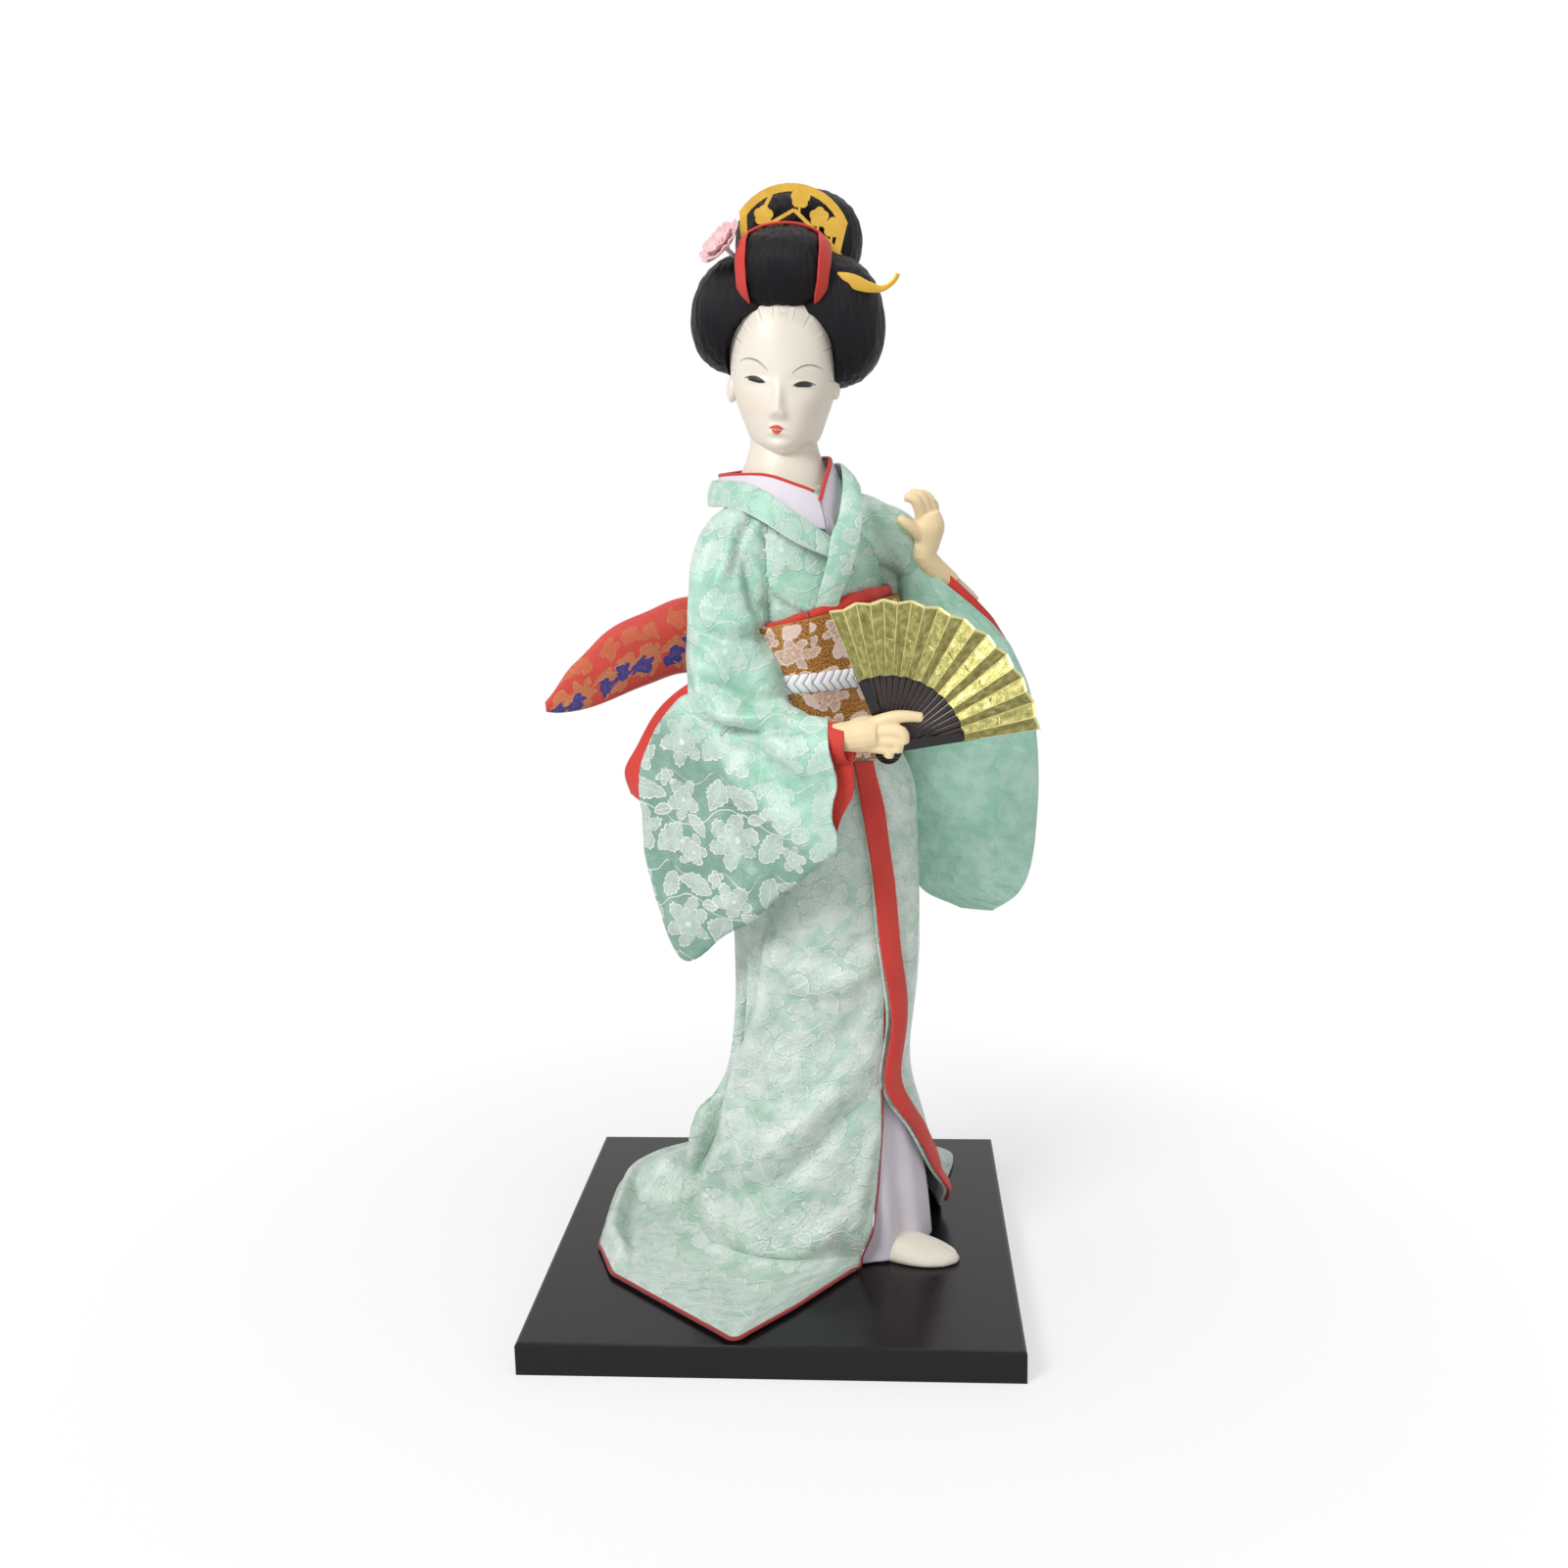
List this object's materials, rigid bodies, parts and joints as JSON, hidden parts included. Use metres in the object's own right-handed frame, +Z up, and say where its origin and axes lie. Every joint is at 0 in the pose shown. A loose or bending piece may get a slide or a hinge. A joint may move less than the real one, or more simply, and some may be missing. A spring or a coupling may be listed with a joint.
{
  "type": "geisha figurine",
  "caption": "Costumed doll in a trailing kimono with a tied sash, dressed hair and an open fan, standing on a square lacquered board.",
  "frame": {"origin": "middle of the board's underside", "axes": "+Z up through the figure, +X to the viewer's right, +Y away from the viewer"},
  "size_m": [0.1392, 0.13, 0.3001],
  "materials": {
    "black_lacquer": "black lacquer, semi-gloss",
    "bare_wood": "bare turned wood",
    "tabi_cloth": "plain off-white cotton",
    "bound_straw": "bound straw under paper",
    "paper_wrap": "paper strip wound over wire",
    "hand_paint": "matt painted",
    "face_paint": "matt shell-white paint, soft sheen",
    "white_cloth": "soft white weave",
    "red_cloth": "plain red silk",
    "mint_brocade": "mint satin with white woven flowers",
    "gold_brocade": "gold-brown brocade with pale flowers",
    "red_brocade": "red brocade with gold outlines",
    "white_braid": "flat braided silk",
    "black_hair": "combed black silk thread",
    "gilt_comb": "gilt",
    "gilt_metal": "gilt, satin",
    "pink_cloth": "folded pink crepe",
    "gold_foil_paper": "pleated gold foil paper, mirror-like",
    "black_sticks": "gloss black lacquer"
  },
  "bodies": {
    "doll": {"base_board": "black_lacquer", "leg_dowel_left": "bare_wood", "leg_dowel_right": "bare_wood", "tabi_foot_left": "tabi_cloth", "tabi_foot_right": "tabi_cloth", "torso_core": "bound_straw", "arm_wire_left": "paper_wrap", "arm_wire_right": "paper_wrap", "hand_left": "hand_paint", "hand_right": "hand_paint", "underskirt": "white_cloth", "under_collar": "white_cloth", "under_collar_piping": "red_cloth", "kimono_bodice": "mint_brocade", "kimono_collar": "mint_brocade", "sleeve_left": "mint_brocade", "sleeve_right": "mint_brocade", "sleeve_lining_left": "red_cloth", "sleeve_lining_right": "red_cloth", "sleeve_edge_right": "red_cloth", "skirt_panel_right": "mint_brocade", "skirt_panel_left": "mint_brocade", "front_facing": "red_cloth", "hem_roll": "red_cloth", "obi": "gold_brocade", "obi_scarf": "red_cloth", "obi_cord": "white_braid", "bow_knot": "red_brocade", "bow_wing_left": "red_brocade", "bow_wing_right": "red_brocade"},
    "head": {"head": "face_paint", "neck_peg": "bare_wood", "hair_front_roll": "black_hair", "hair_wing_left": "black_hair", "hair_wing_right": "black_hair", "hair_back_roll": "black_hair", "hair_topknot": "black_hair", "hair_ribbon_left": "red_cloth", "hair_ribbon_right": "red_cloth"},
    "comb": {"comb": "gilt_comb"},
    "blossom_pin": {"blossom_pin": "pink_cloth"},
    "hairpin": {"hairpin": "gilt_metal"},
    "fan": {"fan_leaf": "gold_foil_paper", "fan_sticks": "black_sticks", "fan_guard_lower": "black_sticks", "fan_guard_upper": "black_sticks", "fan_rivet": "gilt_metal"}
  },
  "joints": [
    {"name": "head_turn", "type": "hinge", "parent": "doll", "child": "head", "pos_m": [0.00447, 0.00102, 0.22], "axis": [0, 0, 1], "range_deg": [-20, 20]},
    {"name": "comb_pull", "type": "slide", "parent": "head", "child": "comb", "axis": [0.1305, 0, 0.9914], "range_m": [0, 0.018]},
    {"name": "blossom_pull", "type": "slide", "parent": "head", "child": "blossom_pin", "axis": [-0.6217, -0.5014, 0.6017], "range_m": [0, 0.012]},
    {"name": "hairpin_pull", "type": "slide", "parent": "head", "child": "hairpin", "axis": [0.9982, 0, 0.0599], "range_m": [0, 0.012]},
    {"name": "fan_pull", "type": "slide", "parent": "doll", "child": "fan", "axis": [0.9903, 0, 0.1392], "range_m": [0, 0.03]}
  ]
}
